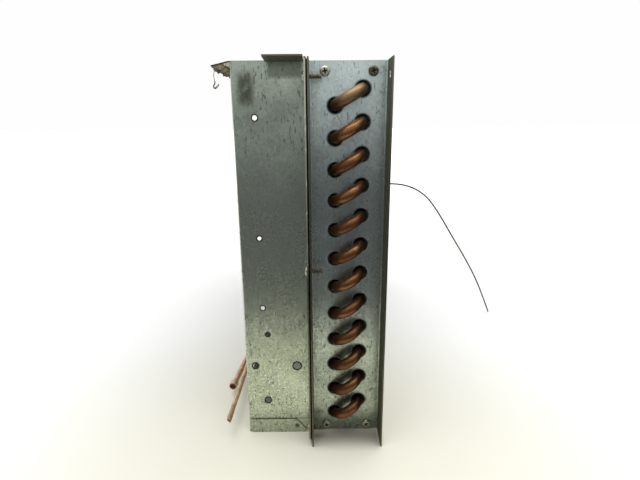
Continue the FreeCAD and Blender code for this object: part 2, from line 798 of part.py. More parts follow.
for thing in doc.Objects:
    if any(word in thing.State for word in ("Invalid", "Error")):
        raise RuntimeError(f"{thing.Label} failed: {thing.State}")
for name, thing in sub_parts:
    if thing.Shape.isNull() or not thing.Shape.isValid():
        raise RuntimeError(f"{name} has no valid shape")

os.makedirs("parts", exist_ok=True)
whole = FreeCAD.BoundBox()
for name, thing in sub_parts:
    thing.Shape.exportStep(f"parts/{name}.step")
    if name != "sensor_capillary":
        whole.add(thing.Shape.BoundBox)
print(len(sub_parts), "sub-parts, box", whole)
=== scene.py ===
import bpy
import bmesh
import math
import random
from mathutils import Matrix, Vector, noise


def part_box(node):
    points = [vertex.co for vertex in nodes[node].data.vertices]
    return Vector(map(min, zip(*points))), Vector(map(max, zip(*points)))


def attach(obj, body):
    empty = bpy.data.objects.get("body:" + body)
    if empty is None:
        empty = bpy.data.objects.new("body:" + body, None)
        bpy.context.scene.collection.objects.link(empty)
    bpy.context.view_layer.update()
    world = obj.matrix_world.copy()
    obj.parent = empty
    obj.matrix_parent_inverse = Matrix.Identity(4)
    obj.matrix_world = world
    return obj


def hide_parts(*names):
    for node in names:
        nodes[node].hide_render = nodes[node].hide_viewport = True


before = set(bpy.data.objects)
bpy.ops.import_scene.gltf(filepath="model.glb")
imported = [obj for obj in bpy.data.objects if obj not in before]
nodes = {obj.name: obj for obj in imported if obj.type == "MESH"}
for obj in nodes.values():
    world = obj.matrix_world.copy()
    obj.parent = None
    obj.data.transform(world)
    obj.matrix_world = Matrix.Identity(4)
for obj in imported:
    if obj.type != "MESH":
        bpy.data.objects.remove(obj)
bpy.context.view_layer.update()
mm = 0.001
noise.seed_set(2)    # lumps and ragged rims come out the same each time
tubeRadius = 0.00476
tubeSheetFace = 0.2096    # both tube sheets' outer faces are this far from the middle


cameraLook = {
    "place": (0.0228, -0.5828, 0.2932),
    "tiltDown": 15.16,
    "turnRight": -0.02,
    "roll": -0.47,
    "lens": 25.0,
}


def makeCamera(look):
    bpy.ops.object.camera_add(location=look["place"])
    camera = bpy.context.object
    camera.name = "studioCamera"
    turn = Matrix.Rotation(math.radians(-look["turnRight"]), 4, "Z")
    tilt = Matrix.Rotation(math.radians(90 - look["tiltDown"]), 4, "X")
    roll = Matrix.Rotation(math.radians(look["roll"]), 4, "Z")
    camera.matrix_world = Matrix.Translation(look["place"]) @ turn @ tilt @ roll
    camera.data.lens = look["lens"]
    camera.data.sensor_width = 36
    camera.data.clip_start = 0.01
    bpy.context.scene.camera = camera


makeCamera(cameraLook)


def addNode(tree, kind, inputs=None, **settings):
    node = tree.nodes.new(kind)
    for key, value in settings.items():
        setattr(node, key, value)
    for key, value in (inputs or {}).items():
        if isinstance(value, bpy.types.NodeSocket):
            tree.links.new(value, node.inputs[key])
        else:
            node.inputs[key].default_value = value
    return node


def newMaterial(name):
    material = bpy.data.materials.new(name)
    material.use_nodes = True
    return material, material.node_tree, material.node_tree.nodes["Principled BSDF"]


def objectPlace(tree):
    return addNode(tree, "ShaderNodeTexCoord").outputs["Object"]


def stretched(tree, place, scale, shift=(0, 0, 0), turn=(0, 0, 0)):
    inputs = {"Vector": place, "Scale": scale, "Location": shift, "Rotation": turn}
    return addNode(tree, "ShaderNodeMapping", inputs).outputs["Vector"]


def noiseOf(tree, place, scale, detail=4.0, rough=0.55, distort=0.0):
    inputs = {"Vector": place, "Scale": scale, "Detail": detail, "Roughness": rough,
              "Distortion": distort}
    return addNode(tree, "ShaderNodeTexNoise", inputs).outputs["Fac"]


def remap(tree, value, low, high, toLow=0.0, toHigh=1.0, smooth=True):
    kind = "SMOOTHSTEP" if smooth else "LINEAR"
    inputs = {"Value": value, "From Min": low, "From Max": high, "To Min": toLow, "To Max": toHigh}
    return addNode(tree, "ShaderNodeMapRange", inputs, interpolation_type=kind).outputs["Result"]


def maths(tree, operation, first, second=0.0):
    node = addNode(tree, "ShaderNodeMath", {0: first, 1: second}, operation=operation)
    return node.outputs["Value"]


def mixed(tree, factor, first, second, blend="MIX"):
    node = addNode(tree, "ShaderNodeMix", data_type="RGBA", blend_type=blend)
    for index, value in ((0, factor), (6, first), (7, second)):
        if isinstance(value, bpy.types.NodeSocket):
            tree.links.new(value, node.inputs[index])
        elif index == 0:
            node.inputs[index].default_value = value
        else:
            node.inputs[index].default_value = (*value, 1.0)
    return node.outputs[2]


def axesOf(tree, place):
    return addNode(tree, "ShaderNodeSeparateXYZ", {"Vector": place}).outputs


def bumped(tree, shader, height, strength, distance):
    bump = addNode(tree, "ShaderNodeBump", {"Height": height, "Strength": strength,
                                            "Distance": distance})
    tree.links.new(bump.outputs["Normal"], shader.inputs["Normal"])
    return bump


# dashes are a stretch, a lean and the least noise that shows
steelLook = {
    "spangle": 620.0, "mottle": 30.0, "speck": 420.0, "facet": 0.075, "cutEdge": 0.0003,
    "uprightDash": ((520.0, 520.0, 160.0), 0.1, 0.63),
    "slantedDash": ((440.0, 440.0, 190.0), 0.7, 0.65),
    "grain": (0.74, 0.78, 0.72), "holeShadeAndSoot": (0.03, 0.03, 0.023), "foldGlint": (0.66, 0.67, 0.5),
    "tabUndersideShade": (0.075, 0.065, 0.035), "rim": (0.07, 0.06, 0.03),
    "glueDark": (0.2, 0.18, 0.09), "glueLight": (0.46, 0.42, 0.27),
}
# heights between which a finish or the painted light and shade changes, all in metres above the
# floor
heights = {
    "top": (0.22, 0.33), "foot": (0.11, 0.03), "base": (0.034, 0.008), "tint": (0.07, 0.2),
    "specks": (0.15, 0.05), "grains": (0.13, 0.05), "cut": (0.16, 0.19), "fold": (0.1, 0.32),
    "paintedTabShadow": (0.3225, 0.3275), "tab": (0.3365, 0.3369), "seam": (0.0144, 0.0152),
}
# places across x, and distances from the middle along y
sheetPlaces = {
    "tabAcross": (-0.0175, 0.0095), "fold": (-0.0457, -0.0467), "brim": (-0.0468, -0.0474),
    "panelFace": (0.2104, 0.2112), "tabOut": (0.2128, 0.2134), "flange": (0.2106, 0.2125),
    "edge": 0.235,
}
ringSize = {"fade": 0.0079, "full": 0.0063, "rows": 11}


def between(tree, value, low, high, soft):
    rising = remap(tree, value, low - soft, low + soft)
    falling = remap(tree, value, high + soft, high - soft)
    return maths(tree, "MULTIPLY", rising, falling)


def dashes(tree, place, stretch, lean, low):
    field = noiseOf(tree, stretched(tree, place, stretch, turn=(0, lean, 0)), 1.0, 2.0, 0.5, 0.3)
    return remap(tree, field, low, low + 0.035)


def times(tree, *values):
    product = values[0]
    for value in values[1:]:
        product = maths(tree, "MULTIPLY", product, value)
    return product


def holeRimShadeAndGrime(tree, x, z):
    # how near a point of the tube sheet is to the rim of a tube hole
    low, high = (Vector(corner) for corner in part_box("hairpin_tube_01"))
    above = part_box("hairpin_tube_02")[0][2] - low.z
    near = None
    for column, level in ((low.x + tubeRadius, low.z + tubeRadius),
                          (high.x - tubeRadius, high.z - tubeRadius)):
        across = maths(tree, "SUBTRACT", x, column)
        up = maths(tree, "PINGPONG", maths(tree, "SUBTRACT", z, level), above / 2)
        reach = maths(tree, "SQRT", maths(tree, "ADD", times(tree, across, across),
                                          times(tree, up, up)))
        inRow = between(tree, z, level - above * 0.45,
                        level + above * (ringSize["rows"] + 0.45), 0.0004)
        ring = times(tree, remap(tree, reach, ringSize["fade"], ringSize["full"]), inRow)
        near = ring if near is None else maths(tree, "MAXIMUM", near, ring)
    return near


def smudged(tree, place, x, z, patch):
    inside = times(tree, between(tree, x, *patch["x"], patch["soft"][0]),
                   between(tree, z, *patch["z"], patch["soft"][1]))
    ragged = remap(tree, noiseOf(tree, place, 160.0, 4.0, 0.6), 0.3, 0.55, 0.7, 1.0)
    return times(tree, inside, ragged, patch["depth"])


def galvanised(name, look, light, dark, grimeAndShade, edges, roughness, patch=None, kind="coil"):
    material, tree, shader = newMaterial(name)
    place = objectPlace(tree)
    x, y, z = axesOf(tree, place)
    outside = maths(tree, "ABSOLUTE", y)
    normal = addNode(tree, "ShaderNodeNewGeometry").outputs["Normal"]
    sideways, depthways, upwards = axesOf(tree, normal)
    cells = addNode(tree, "ShaderNodeTexVoronoi", {"Vector": place, "Scale": look["spangle"]})
    mottle = noiseOf(tree, place, look["mottle"], 6.0, 0.62, 0.3)
    wide = noiseOf(tree, place, 9.0, 3.0, 0.5)
    streak = noiseOf(tree, stretched(tree, place, (700.0, 700.0, 22.0)), 1.0, 3.0, 0.6)
    fine = noiseOf(tree, place, 1100.0, 2.0, 0.6)
    cell = addNode(tree, "ShaderNodeSeparateColor",
                   {"Color": cells.outputs["Color"]}).outputs["Red"]

    tone = maths(tree, "ADD", times(tree, cell, 0.1), times(tree, mottle, 0.6))
    tone = maths(tree, "ADD", tone, times(tree, wide, 0.3))
    tone = maths(tree, "ADD", tone, times(tree, fine, 0.12))
    colour = mixed(tree, remap(tree, tone, 0.42, 0.72), dark, light)

    # short dark dashes high up, grains of dark and bright zinc low down
    cluster = remap(tree, noiseOf(tree, place, 24.0, 3.0, 0.5), 0.32, 0.52)
    upright = dashes(tree, place, *look["uprightDash"])
    slanted = dashes(tree, place, *look["slantedDash"])
    marks = times(tree, maths(tree, "MAXIMUM", upright, slanted), cluster,
                  remap(tree, y, -0.1, 0.1, 0.8, 0.45))
    specks = remap(tree, noiseOf(tree, place, look["speck"], 3.0, 0.6), 0.6, 0.66)
    lowDown = remap(tree, z, *heights["specks"], 0.12, 0.8)
    marks = maths(tree, "MAXIMUM", marks, times(tree, specks, lowDown))
    colour = mixed(tree, marks, colour, grimeAndShade)
    grains = remap(tree, noiseOf(tree, place, look["speck"] * 1.3, 2.0, 0.6), 0.53, 0.62)
    grains = times(tree, grains, remap(tree, z, *heights["grains"], 0.0, 0.75))
    colour = mixed(tree, grains, colour, look["grain"])

    stainAndShade = remap(tree, noiseOf(tree, place, 13.0, 5.0, 0.6, 0.6), 0.52, 0.75, 0.0, 0.35)
    if patch:
        stainAndShade = maths(tree, "MAXIMUM", stainAndShade, smudged(tree, place, x, z, patch))
    ring = holeRimShadeAndGrime(tree, x, z) if kind == "coil" else 0.0
    if kind == "plenum":
        # below the tab the sheet is painted dark, as the tab's shadow and reflection
        paintedTabShadow = times(tree, between(tree, x, *sheetPlaces["tabAcross"], 0.0015),
                         remap(tree, z, *heights["paintedTabShadow"], 0.0, 0.7))
        seam = times(tree, between(tree, z, *heights["seam"], 0.0007),
                     remap(tree, mottle, 0.3, 0.6, 0.3, 0.9))
        stainAndShade = maths(tree, "MAXIMUM", stainAndShade, maths(tree, "MAXIMUM", paintedTabShadow, seam))
    colour = mixed(tree, stainAndShade, colour, grimeAndShade)
    # painted light and shade by height: each sheet is made brighter or darker at the top, the foot
    # and the base
    level = times(tree, remap(tree, z, *heights["top"], edges["middle"], edges["top"]),
                  remap(tree, z, *heights["foot"], 1.0, edges["foot"] / edges["middle"]))
    level = times(tree, level, remap(tree, z, *heights["base"], 1.0, edges["base"]))
    lying = remap(tree, maths(tree, "ABSOLUTE", upwards), 0.4, 0.8, 2.0, 1.0)
    level = maths(tree, "MINIMUM", level, lying)    # a level face is never brightened
    colour = addNode(tree, "ShaderNodeVectorMath", {0: colour, 3: level},
                     operation="SCALE").outputs["Vector"]
    tint = mixed(tree, remap(tree, z, *heights["tint"]), edges["lowTint"], edges["highTint"])
    colour = mixed(tree, 1.0, colour, tint, "MULTIPLY")

    if kind == "plenum":
        # the rounded fold at the panel's left edge is painted pale as a glint, brighter towards
        # the top
        fold = times(tree, remap(tree, x, *sheetPlaces["fold"]),
                     remap(tree, outside, *sheetPlaces["panelFace"]),
                     remap(tree, z, *heights["fold"], 0.25, 0.75))
        colour = mixed(tree, fold, colour, look["foldGlint"])
    flange = 0.0
    if kind == "coil":
        # the rims of the tube holes are painted dark, as shade in the holes and as soot
        colour = mixed(tree, times(tree, ring, 0.9), colour, look["holeShadeAndSoot"])
        # the two faces that look at each other across the bends are the dirty ones
        middle = (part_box("front_tube_sheet")[0][0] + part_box("front_tube_sheet")[1][0]) / 2
        facing = remap(tree, times(tree, maths(tree, "SUBTRACT", x, middle), sideways),
                       -0.01, -0.02)
        flange = times(tree, remap(tree, outside, *sheetPlaces["flange"]), facing)
        colour = mixed(tree, times(tree, flange, 0.95), colour, edges["flange"])
    # the cut edge is painted as a thin line: painted shade low down and a painted glint high up
    cut = remap(tree, outside, sheetPlaces["edge"] - look["cutEdge"], 0.2349)
    cutEdgeGlintAndShade = mixed(tree, remap(tree, z, *heights["cut"]), edges["low"], edges["high"])
    colour = mixed(tree, times(tree, cut, 0.9), colour, cutEdgeGlintAndShade)
    metal = maths(tree, "SUBTRACT", 0.95, maths(tree, "MAXIMUM", times(tree, marks, 0.5),
                                                times(tree, ring, 0.85)))
    metal = maths(tree, "SUBTRACT", metal, times(tree, flange, 0.15))
    if kind == "plenum":
        # the tab's underside and front edge are painted dark, as shade
        tab = times(tree, remap(tree, z, *heights["tab"]),
                    remap(tree, outside, *sheetPlaces["tabOut"]),
                    remap(tree, upwards, 0.6, 0.2))
        colour = mixed(tree, times(tree, tab, 0.95), colour, look["tabUndersideShade"])
        metal = maths(tree, "SUBTRACT", metal, times(tree, tab, 0.6))
    if kind == "brim":
        over = remap(tree, x, *sheetPlaces["brim"])
        under = times(tree, over, remap(tree, upwards, -0.3, -0.7))
        blotch = remap(tree, noiseOf(tree, place, 260.0, 4.0, 0.65), 0.35, 0.65)
        glue = mixed(tree, blotch, look["glueDark"], look["glueLight"])
        colour = mixed(tree, under, colour, glue)
        rim = times(tree, over, remap(tree, maths(tree, "ABSOLUTE", depthways), 0.4, 0.8))
        colour = mixed(tree, rim, colour, look["rim"])
        metal = times(tree, metal, maths(tree, "SUBTRACT", 1.0, under))
    tree.links.new(colour, shader.inputs["Base Color"])
    tree.links.new(metal, shader.inputs["Metallic"])

    rough = remap(tree, tone, 0.4, 0.75, roughness + 0.05, roughness - 0.04)
    rough = maths(tree, "ADD", rough, times(tree, marks, 0.2))
    rough = maths(tree, "ADD", rough, times(tree, maths(tree, "MAXIMUM", flange, ring), 0.4))
    tree.links.new(rough, shader.inputs["Roughness"])
    tilt = addNode(tree, "ShaderNodeVectorMath", {0: cells.outputs["Color"], 1: (0.5, 0.5, 0.5)},
                   operation="SUBTRACT").outputs["Vector"]
    tilt = addNode(tree, "ShaderNodeVectorMath", {0: tilt, 3: look["facet"]},
                   operation="SCALE").outputs["Vector"]
    facets = addNode(tree, "ShaderNodeVectorMath", {0: normal, 1: tilt}, operation="ADD")
    facets = addNode(tree, "ShaderNodeVectorMath", {0: facets.outputs["Vector"]},
                     operation="NORMALIZE")
    relief = maths(tree, "SUBTRACT", maths(tree, "ADD", times(tree, streak, 0.4),
                                           times(tree, fine, 0.4)), times(tree, marks, 0.15))
    bump = bumped(tree, shader, relief, 0.3, 0.0002)
    tree.links.new(facets.outputs["Vector"], bump.inputs["Normal"])
    return material


# top, middle, foot and base say how bright the sheet is painted at each height, as painted light
# and shade; low and high are the colours of its cut edge, and flange is that of the two faces
# beside the bends
coilEdges = {"low": (0.075, 0.06, 0.035), "high": (0.13, 0.12, 0.08),
             "flange": (0.092, 0.09, 0.048),
             "top": 1.45, "middle": 1.0, "foot": 0.86, "base": 0.78,
             "lowTint": (0.96, 1.0, 0.85), "highTint": (0.95, 1.0, 1.0)}
plenumEdges = {"low": (0.13, 0.12, 0.075), "high": (0.62, 0.62, 0.5),
               "top": 1.05, "middle": 1.05, "foot": 1.13, "base": 0.7,
               "lowTint": (0.98, 1.02, 0.86), "highTint": (0.98, 1.03, 0.98)}
coilSteel = galvanised("coilSteel", steelLook, (0.56, 0.6, 0.6), (0.43, 0.47, 0.47),
                       (0.12, 0.125, 0.105), coilEdges, 0.3)
smudge = {"x": (-0.0415, -0.029), "z": (0.304, 0.329), "soft": (0.004, 0.006), "depth": 0.95}
plenumSteel = galvanised("plenumSteel", steelLook, (0.5, 0.53, 0.49), (0.38, 0.41, 0.38),
                         (0.09, 0.095, 0.075), plenumEdges, 0.3, smudge, "plenum")
brimSteel = galvanised("brimSteel", steelLook, (0.46, 0.48, 0.44), (0.34, 0.37, 0.34),
                       (0.1, 0.105, 0.085), plenumEdges, 0.36, None, "brim")
weldSmudge = {"x": (-0.0026, 0.001), "z": (0.0054, 0.009), "soft": (0.0012, 0.0012), "depth": 0.9}
panSteel = galvanised("panSteel", steelLook, (0.6, 0.62, 0.57), (0.44, 0.46, 0.42),
                      (0.11, 0.085, 0.055), plenumEdges, 0.42, weldSmudge, "pan")


brass = (0.32, 0.22, 0.125)


def copper(name, bright, brown, dirtAndShade, roughness, tubeSheet):
    material, tree, shader = newMaterial(name)
    place = objectPlace(tree)
    y, z = axesOf(tree, place)[1:]
    cloud = noiseOf(tree, place, 60.0, 3.0, 0.5, 0.2)
    fleck = noiseOf(tree, place, 700.0, 3.0, 0.6)
    colour = mixed(tree, remap(tree, cloud, 0.38, 0.66), brown, bright)
    colour = mixed(tree, times(tree, remap(tree, fleck, 0.56, 0.68), 0.6), colour, dirtAndShade)
    if tubeSheet:
        topBend = remap(tree, z, 0.302, 0.309, 0.0, 0.8)    # the top bend is brassy
        colour = mixed(tree, topBend, colour, brass)
        # where each bend enters the tube sheet it is painted dark, as shade from the hole and as
        # dirt
        root = remap(tree, maths(tree, "ABSOLUTE", y), tubeSheet + 0.012, tubeSheet + 0.001)
        colour = mixed(tree, times(tree, root, 0.9), colour, dirtAndShade)
    tree.links.new(colour, shader.inputs["Base Color"])
    tree.links.new(remap(tree, cloud, 0.3, 0.7, roughness + 0.1, roughness - 0.06),
                   shader.inputs["Roughness"])
    shader.inputs["Metallic"].default_value = 1.0
    bumped(tree, shader, maths(tree, "ADD", cloud, fleck), 0.2, 0.0002)
    return material


bendCopper = copper("bendCopper", (0.31, 0.142, 0.064), (0.2, 0.088, 0.04), (0.03, 0.021, 0.013),
                    0.44, tubeSheetFace)
lineCopper = copper("lineCopper", (0.78, 0.57, 0.4), (0.54, 0.36, 0.23), (0.2, 0.13, 0.08),
                    0.42, None)


def plainMetal(name, light, dark, scale, roughness, metallic):
    material, tree, shader = newMaterial(name)
    place = objectPlace(tree)
    cloud = noiseOf(tree, place, scale, 5.0, 0.6)
    fine = noiseOf(tree, place, scale * 6, 2.0, 0.6)
    tree.links.new(mixed(tree, remap(tree, cloud, 0.35, 0.65), dark, light),
                   shader.inputs["Base Color"])
    tree.links.new(remap(tree, fine, 0.3, 0.7, roughness + 0.1, roughness - 0.08),
                   shader.inputs["Roughness"])
    shader.inputs["Metallic"].default_value = metallic
    bumped(tree, shader, fine, 0.2, 0.0001)
    return material


zincYellow = plainMetal("zincYellow", (0.62, 0.61, 0.5), (0.4, 0.4, 0.32), 160.0, 0.4, 1.0)
finAluminium = plainMetal("finAluminium", (0.88, 0.89, 0.89), (0.66, 0.66, 0.64), 45.0, 0.5, 0.5)
capillaryMetal = plainMetal("capillaryMetal", (0.11, 0.105, 0.075), (0.055, 0.05, 0.035), 200.0,
                            0.5, 0.4)
sensorMetal = plainMetal("sensorMetal", (0.5, 0.33, 0.2), (0.3, 0.19, 0.11), 150.0, 0.4, 1.0)
brazeMetal = plainMetal("brazeMetal", (0.5, 0.46, 0.38), (0.25, 0.19, 0.13), 400.0, 0.45, 1.0)
burrMetal = plainMetal("burrMetal", (0.03, 0.03, 0.021), (0.01, 0.01, 0.007), 500.0, 0.7, 0.3)
recessShadeAndGrime = plainMetal("recessShadeAndGrime", (0.05, 0.045, 0.03), (0.015, 0.014, 0.01), 600.0, 0.7, 0.3)
# the shanks' dull zinc is made darker as painted shade
dullZincAndShade = plainMetal("dullZincAndShade", (0.2, 0.19, 0.115), (0.08, 0.075, 0.045), 400.0, 0.5, 0.9)


def foamFinish():
    material, tree, shader = newMaterial("agedFoam")
    place = objectPlace(tree)
    x = axesOf(tree, place)[0]
    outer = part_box("foam_seal_top")[0][0]
    cells = addNode(tree, "ShaderNodeTexVoronoi", {"Vector": place, "Scale": 900.0})
    cloud = noiseOf(tree, place, 90.0, 5.0, 0.6)
    pore = remap(tree, cells.outputs["Distance"], 0.15, 0.6)
    base = mixed(tree, remap(tree, cloud, 0.35, 0.65), (0.26, 0.225, 0.13), (0.5, 0.45, 0.3))
    fringe = remap(tree, x, outer + 0.0024, outer + 0.0006, 0.0, 0.85)
    base = mixed(tree, fringe, base, (0.05, 0.042, 0.022))
    colour = mixed(tree, maths(tree, "MULTIPLY", pore, 0.35), base, (0.06, 0.05, 0.03))
    tree.links.new(colour, shader.inputs["Base Color"])
    shader.inputs["Roughness"].default_value = 0.95
    bumped(tree, shader, pore, 0.8, 0.0006)
    return material


agedFoam = foamFinish()
print("finishes ready")


def paint(name, material):
    target = nodes[name]
    target.data.materials.clear()
    target.data.materials.append(material)


for name in ("front_tube_sheet", "rear_tube_sheet", "coil_top_plate", "coil_bottom_plate"):
    paint(name, coilSteel)
for name in ("plenum_front_panel", "plenum_rear_panel"):
    paint(name, plenumSteel)
paint("plenum_top_panel", brimSteel)
paint("drip_pan", panSteel)
for name in nodes:
    if name.startswith(("hairpin_tube", "return_bend")):
        paint(name, bendCopper)
for name in ("liquid_line", "suction_line"):
    paint(name, lineCopper)
for name in ("sensor_bulb", "bulb_clip"):
    paint(name, sensorMetal)
print("design nodes painted")


def deselectAll():
    if bpy.context.object and bpy.context.object.mode != "OBJECT":
        bpy.ops.object.mode_set(mode="OBJECT")
    bpy.ops.object.select_all(action="DESELECT")


def pick(piece):
    deselectAll()
    piece.select_set(True)
    bpy.context.view_layer.objects.active = piece


def startEdit(piece):
    pick(piece)
    bpy.ops.object.mode_set(mode="EDIT")


def endEdit():
    bpy.ops.object.mode_set(mode="OBJECT")


def settle(piece):
    pick(piece)
    bpy.ops.object.transform_apply(location=True, rotation=True, scale=True)


def applyAll(piece):
    pick(piece)
    for modifier in list(piece.modifiers):
        bpy.ops.object.modifier_apply(modifier=modifier.name)


def joinAll(parts, name):
    deselectAll()
    for part in parts:
        part.select_set(True)
    bpy.context.view_layer.objects.active = parts[0]
    if len(parts) > 1:
        bpy.ops.object.join()
    joined = bpy.context.object
    joined.name = name
    return joined


def dress(piece, material):
    piece.data.materials.clear()
    piece.data.materials.append(material)
    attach(piece, "root")


capillarySize = {"diameter": 0.0021, "length": 0.36}


def makeCapillary():
    points = [(0.073, -0.0596, 0.214), (0.073, -0.0436, 0.2142), (0.082, -0.022, 0.214),
              (0.106, -0.010, 0.213), (0.136, -0.004, 0.2105), (0.1635, 0.003, 0.196),
              (0.1855, 0.012, 0.168), (0.2085, 0.022, 0.133), (0.2335, 0.035, 0.097),
              (0.2575, 0.046, 0.058), (0.274, 0.054, 0.024), (0.285, 0.0605, 0.0012)]
    line = bpy.data.curves.new("sensorCapillary", "CURVE")
    line.dimensions = "3D"
    spline = line.splines.new("NURBS")
    spline.points.add(len(points) - 1)
    for point, place in zip(spline.points, points):
        point.co = (*place, 1.0)
    spline.order_u = 3
    spline.use_endpoint_u = True
    spline.resolution_u = 12
    line.bevel_depth = capillarySize["diameter"] / 2
    line.bevel_resolution = 4
    line.use_fill_caps = True
    piece = bpy.data.objects.new("sensorCapillary", line)
    bpy.context.collection.objects.link(piece)
    dress(piece, capillaryMetal)
    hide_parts("sensor_capillary")


makeCapillary()
print("capillary laid")


# shadedEnds is how far in from each end the fins are painted black, as shade inside the tube holes
finSize = {"count": 196, "thick": 0.00025, "folds": 12, "wave": 0.0015, "shadedEnds": 0.004}


def makeFins(size):
    low, high = (Vector(corner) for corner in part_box("fin_pack"))
    middle = (low + high) / 2
    deselectAll()
    bpy.ops.mesh.primitive_grid_add(x_subdivisions=size["folds"], y_subdivisions=1, size=1,
                                    location=(middle.x, low.y, middle.z),
                                    rotation=(math.pi / 2, 0, 0))
    fin = bpy.context.object
    fin.name = "finStack"
    fin.scale = (high.x - low.x, high.z - low.z, 1)
    settle(fin)
    width = (high.x - low.x) / size["folds"]
    startEdit(fin)
    bpy.ops.mesh.select_all(action="DESELECT")
    mesh = bmesh.from_edit_mesh(fin.data)
    for vertex in mesh.verts:
        column = round((vertex.co.x - low.x) / width)
        vertex.select_set(column % 2 == 1)
    bmesh.update_edit_mesh(fin.data)
    bpy.ops.transform.translate(value=(0, size["wave"], 0))
    endEdit()
    thick = fin.modifiers.new("thick", "SOLIDIFY")
    thick.thickness = size["thick"]
    row = fin.modifiers.new("row", "ARRAY")
    row.count = size["count"]
    row.use_relative_offset = False
    row.use_constant_offset = True
    step = (high.y - low.y - 2 * size["wave"]) / (size["count"] - 1)
    row.constant_offset_displace = (0, step, 0)
    applyAll(fin)
    dress(fin, finAluminium)
    fin.data.materials.append(recessShadeAndGrime)    # for the end fins, which show round the tubes
    # the end fins are painted black, as shade inside the tube holes
    for face in fin.data.polygons:
        fromEnd = min(face.center.y - low.y, high.y - face.center.y)
        face.material_index = int(fromEnd < size["shadedEnds"])
    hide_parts("fin_pack")


makeFins(finSize)
print("fins stacked")


screwSize = {
    "head": 0.0082, "headHeight": 0.0026, "shank": 0.0031, "thread": 0.0038,
    "pitch": 0.0014, "recess": 0.0058, "recessWide": 0.0017, "recessDeep": 0.0018,
    "tip": 0.0004, "sheetLength": 0.0093, "flangeLength": 0.0128, "smoothBelow": 35,
}


def makeScrew(name, size, length):
    deselectAll()
    bpy.ops.mesh.primitive_cylinder_add(vertices=40, radius=size["head"] / 2,
                                        depth=size["headHeight"],
                                        location=(0, 0, size["headHeight"] / 2))
    head = bpy.context.object
    startEdit(head)
    bpy.ops.mesh.select_all(action="DESELECT")
    mesh = bmesh.from_edit_mesh(head.data)
    for edge in mesh.edges:
        edge.select_set(all(v.co.z > size["headHeight"] * 0.49 for v in edge.verts))
    bmesh.update_edit_mesh(head.data)
    bpy.ops.mesh.bevel(offset=size["headHeight"] * 0.72, segments=6, profile=0.55)
    endEdit()
    cutters = []
    for turn in (0, math.pi / 2):
        bpy.ops.mesh.primitive_cube_add(size=1, location=(0, 0, size["headHeight"]),
                                        rotation=(0, 0, turn))
        blade = bpy.context.object
        blade.scale = (size["recess"], size["recessWide"], size["recessDeep"] * 2)
        settle(blade)
        startEdit(blade)
        bpy.ops.mesh.select_all(action="DESELECT")
        mesh = bmesh.from_edit_mesh(blade.data)
        for vertex in mesh.verts:
            vertex.select_set(vertex.co.z < size["headHeight"])
        bmesh.update_edit_mesh(blade.data)
        bpy.ops.transform.resize(value=(0.45, 0.45, 1), center_override=(0, 0, 0))
        endEdit()
        cutters.append(blade)
    for blade in cutters:
        cut = head.modifiers.new("recess", "BOOLEAN")
        cut.operation = "DIFFERENCE"
        cut.object = blade
    applyAll(head)
    for blade in cutters:
        bpy.data.objects.remove(blade)
    deselectAll()
    bpy.ops.mesh.primitive_cylinder_add(vertices=20, radius=size["shank"] / 2, depth=length,
                                        location=(0, 0, -length / 2))
    shank = bpy.context.object
    startEdit(shank)
    bpy.ops.mesh.select_all(action="DESELECT")
    mesh = bmesh.from_edit_mesh(shank.data)
    for edge in mesh.edges:
        edge.select_set(all(v.co.z < -length * 0.49 for v in edge.verts))
    bmesh.update_edit_mesh(shank.data)
    bpy.ops.mesh.bevel(offset=size["tip"], segments=2)
    endEdit()
    thread = makeThread(size, length)
    screw = joinAll([head, shank, thread], name)
    settle(screw)
    for finish in (zincYellow, recessShadeAndGrime, dullZincAndShade):
        screw.data.materials.append(finish)
    # the cross recess is painted dark, as shade and grime in it
    for face in screw.data.polygons:
        across = math.hypot(face.center.x, face.center.y)
        sunk = across < size["recess"] * 0.53 and face.center.z < size["headHeight"] - 0.0003
        face.material_index = 2 if face.center.z < 0 else int(sunk and face.center.z > 0.0001)
    pick(screw)
    bpy.ops.object.shade_smooth_by_angle(angle=math.radians(size["smoothBelow"]))
    return screw


def makeThread(size, length):
    turns = int((length - 0.0012) / size["pitch"])
    root, crest, half = size["shank"] / 2 - 0.0001, size["thread"] / 2, size["pitch"] * 0.36
    deselectAll()
    bpy.ops.mesh.primitive_circle_add(vertices=3, radius=0.001, fill_type="NOTHING")
    ridge = bpy.context.object
    corners = [(root, 0, -half), (crest, 0, 0), (root, 0, half)]
    for vertex, corner in zip(ridge.data.vertices, corners):
        vertex.co = corner
    ridge.location = (0, 0, -0.0006 - half - turns * size["pitch"])
    settle(ridge)
    helix = ridge.modifiers.new("helix", "SCREW")
    helix.angle = 2 * math.pi
    helix.screw_offset = size["pitch"]
    helix.iterations = turns
    helix.steps = helix.render_steps = 18
    helix.use_merge_vertices = True
    applyAll(ridge)
    startEdit(ridge)
    bpy.ops.mesh.select_all(action="DESELECT")
    bpy.ops.mesh.select_mode(type="EDGE")
    bpy.ops.mesh.select_non_manifold()
    bpy.ops.mesh.edge_face_add()
    bpy.ops.mesh.select_all(action="SELECT")
    bpy.ops.mesh.normals_make_consistent(inside=False)
    endEdit()
    return ridge


def placeScrews(group, master, seats, turn, cadNode):
    copies = []
    for seat, twist in seats:
        copy = master.copy()
        copy.data = master.data.copy()
        bpy.context.collection.objects.link(copy)
        copy.matrix_world = Matrix.Translation(seat) @ turn @ Matrix.Rotation(twist, 4, "Z")
        if seat.x > 0.05 and seat.y < 0 and seat.z > 0.3:    # one head takes the darker shank finish
            for face in copy.data.polygons:
                face.material_index = face.material_index or 2
        copies.append(copy)
    joined = joinAll(copies, group)
    settle(joined)
    finishes = [face.material_index for face in joined.data.polygons]
    dress(joined, zincYellow)
    joined.data.materials.append(recessShadeAndGrime)
    joined.data.materials.append(dullZincAndShade)
    joined.data.polygons.foreach_set("material_index", finishes)
    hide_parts(cadNode)


